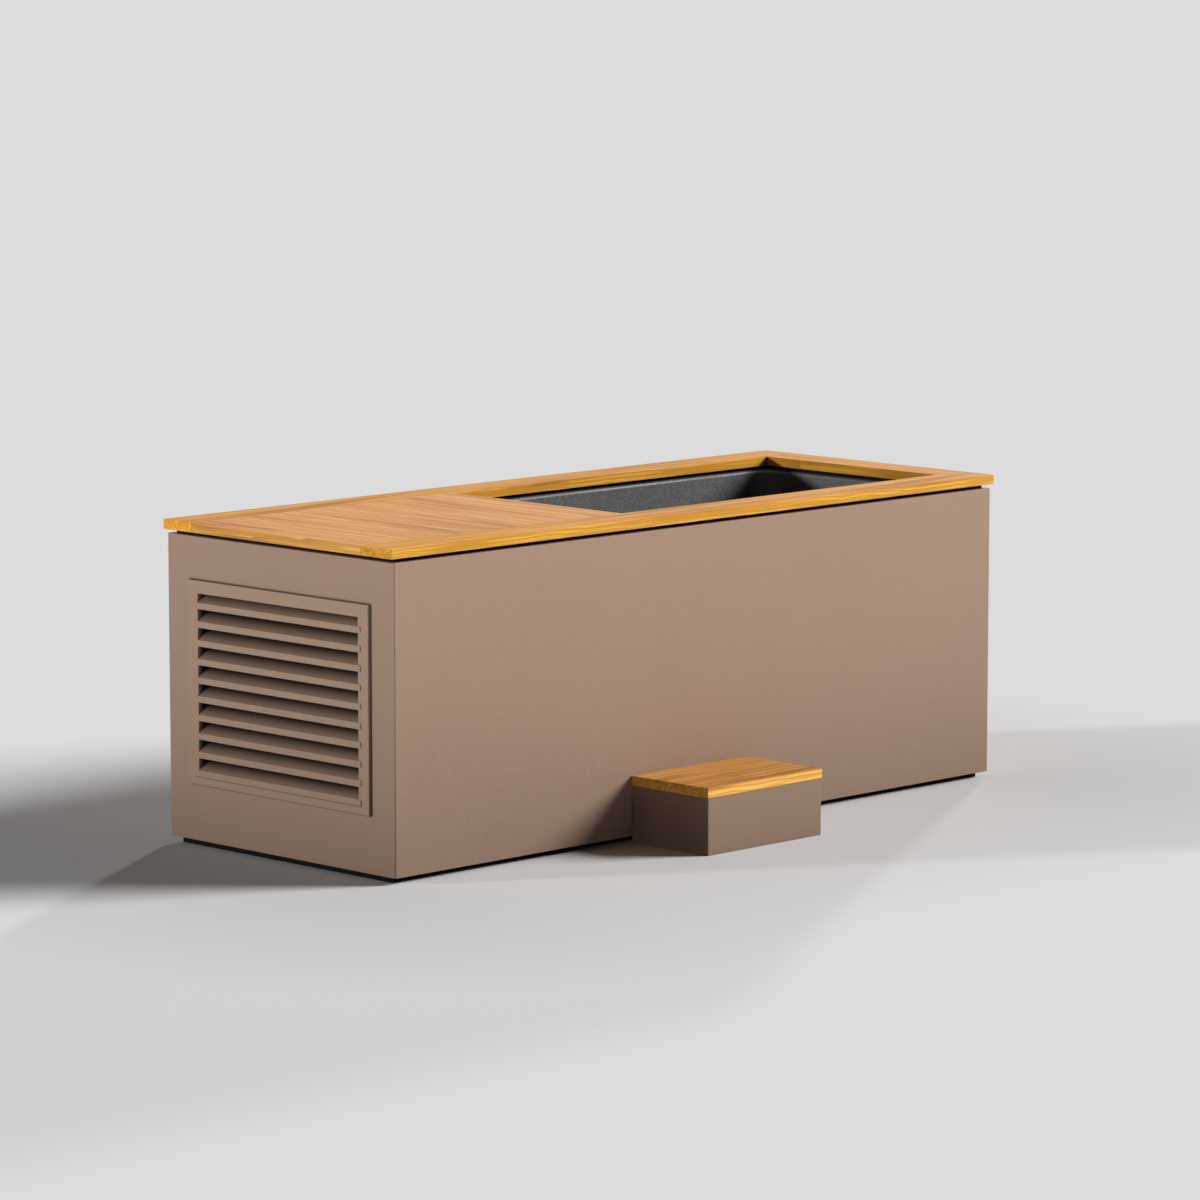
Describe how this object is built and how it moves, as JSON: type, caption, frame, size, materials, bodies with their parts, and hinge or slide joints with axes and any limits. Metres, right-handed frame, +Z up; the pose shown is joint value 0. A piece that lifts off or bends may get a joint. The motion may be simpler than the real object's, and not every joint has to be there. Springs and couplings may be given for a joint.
{
  "type": "cold plunge tub",
  "caption": "Rectangular cold plunge tub with timber rim, louvred chiller bay under a hinged hatch, recessed basin, drain and a loose timber-topped step",
  "frame": {"origin": "centre of the tub's base on the floor", "axes": "+X along the tub, away from the louvred end; -Y the front, where the step stands; +Z up"},
  "size_m": [2.122, 1.1015, 0.792],
  "materials": {
    "powder_coat": "satin",
    "louvre_coat": "satin",
    "step_coat": "satin",
    "rail_timber": "oiled",
    "end_rail_timber": "oiled",
    "hatch_timber": "oiled",
    "tread_timber": "oiled",
    "black_board": "matte",
    "basin_shell": "fine texture",
    "frame_paint": "matte",
    "galvanised": "dull",
    "bearer_board": "matte",
    "foam": "open cell",
    "stainless": "brushed",
    "coil_fins": "finned",
    "black_enamel": "gloss",
    "fan_plastic": "matte",
    "copper": "dull",
    "exchanger_shell": "matte",
    "pump_plastic": "matte",
    "motor_paint": "satin",
    "rotor_steel": "turned",
    "pleats": "pleated",
    "pvc_pipe": "satin",
    "lever_red": "moulded",
    "fitting_plastic": "matte",
    "control_plastic": "matte",
    "display_window": "gloss",
    "button_plastic": "matte",
    "foot_rubber": "matte"
  },
  "bodies": {
    "tub": {"back_rail": "rail_timber", "base_frame": "frame_paint", "basin": "basin_shell", "basin_bearers": "bearer_board", "bulkhead": "galvanised", "compressor": "black_enamel", "condenser_coil": "coil_fins", "control_box": "control_plastic", "control_display": "display_window", "delivery_pipes": "pvc_pipe", "drain_grate": "fitting_plastic", "drain_pipe": "pvc_pipe", "end_rail": "end_rail_timber", "equipment_tray": "galvanised", "fan_motor": "black_enamel", "fan_shroud": "galvanised", "filter_canister": "pump_plastic", "filter_cartridge": "pleats", "filter_lid": "pump_plastic", "frame_posts": "frame_paint", "front_panel": "powder_coat", "front_rail": "rail_timber", "heat_exchanger": "exchanger_shell", "hinge_leaf_fixed": "stainless", "hinge_pin": "stainless", "insulation_boards": "foam", "jet_body": "fitting_plastic", "left_panel": "powder_coat", "louvre_blades": "louvre_coat", "louvre_filter_pad": "foam", "louvre_frame": "louvre_coat", "mains_gland": "fitting_plastic", "plinth_board": "black_board", "pump_body": "pump_plastic", "pump_motor": "motor_paint", "rear_panel": "powder_coat", "refrigerant_line": "copper", "reveal_spacers": "black_board", "right_panel": "powder_coat", "suction_grille": "fitting_plastic", "suction_pipes": "pvc_pipe", "upper_frame": "frame_paint", "valve_bodies": "pump_plastic"},
    "hatch": {"hatch_panel": "hatch_timber", "hatch_battens": "hatch_timber", "hinge_leaf_hatch": "stainless"},
    "fan": {"fan": "fan_plastic"},
    "pump_rotor": {"pump_rotor": "rotor_steel"},
    "lock_ring": {"filter_lock_ring": "pump_plastic"},
    "suction_lever": {"suction_valve_lever": "lever_red"},
    "return_lever": {"return_valve_lever": "lever_red"},
    "drain_cap": {"drain_cap": "fitting_plastic"},
    "jet_eye": {"jet_eye": "fitting_plastic"},
    "button_power": {"button_power": "button_plastic"},
    "button_down": {"button_down": "button_plastic"},
    "button_up": {"button_up": "button_plastic"},
    "step": {"step_shell": "step_coat", "step_tread": "tread_timber", "step_screws": "stainless", "step_feet": "foot_rubber"}
  },
  "joints": [
    {"name": "hatch_lift", "type": "hinge", "parent": "tub", "child": "hatch", "pos_m": [-0.2045, 0, 0.763], "axis": [0, 1, 0], "range_deg": [0, 90]},
    {"name": "fan_spin", "type": "hinge", "parent": "tub", "child": "fan", "pos_m": [-0.922, 0, 0.4035], "axis": [1, 0, 0], "continuous": true},
    {"name": "pump_spin", "type": "hinge", "parent": "tub", "child": "pump_rotor", "pos_m": [-0.55, -0.12, 0.26], "axis": [1, 0, 0], "continuous": true},
    {"name": "lock_ring_turn", "type": "hinge", "parent": "tub", "child": "lock_ring", "pos_m": [-0.454, 0.06, 0.49], "axis": [0, 0, 1], "range_deg": [0, 60]},
    {"name": "suction_lever_turn", "type": "hinge", "parent": "tub", "child": "suction_lever", "pos_m": [-0.344, -0.12, 0.31], "axis": [0, 0, 1], "range_deg": [0, 90]},
    {"name": "return_lever_turn", "type": "hinge", "parent": "tub", "child": "return_lever", "pos_m": [-0.344, 0.18, 0.675], "axis": [0, 0, 1], "range_deg": [0, 90]},
    {"name": "drain_cap_turn", "type": "hinge", "parent": "tub", "child": "drain_cap", "pos_m": [-0.094, 0.42, 0.1], "axis": [0, 1, 0], "range_deg": [0, 90]},
    {"name": "jet_eye_swivel", "type": "hinge", "parent": "tub", "child": "jet_eye", "pos_m": [-0.205, 0.18, 0.625], "axis": [0, 0, 1], "range_deg": [-20, 20]},
    {"name": "button_power_press", "type": "slide", "parent": "tub", "child": "button_power", "axis": [0, 0, -1], "range_m": [0, 0.0015], "stiffness_N_per_m": 400, "springref_m": -0.001},
    {"name": "button_down_press", "type": "slide", "parent": "tub", "child": "button_down", "axis": [0, 0, -1], "range_m": [0, 0.0015], "stiffness_N_per_m": 400, "springref_m": -0.001},
    {"name": "button_up_press", "type": "slide", "parent": "tub", "child": "button_up", "axis": [0, 0, -1], "range_m": [0, 0.0015], "stiffness_N_per_m": 400, "springref_m": -0.001},
    {"name": "step_slide", "type": "slide", "parent": "tub", "child": "step", "axis": [0, -1, 0], "range_m": [0, 0.3]}
  ]
}
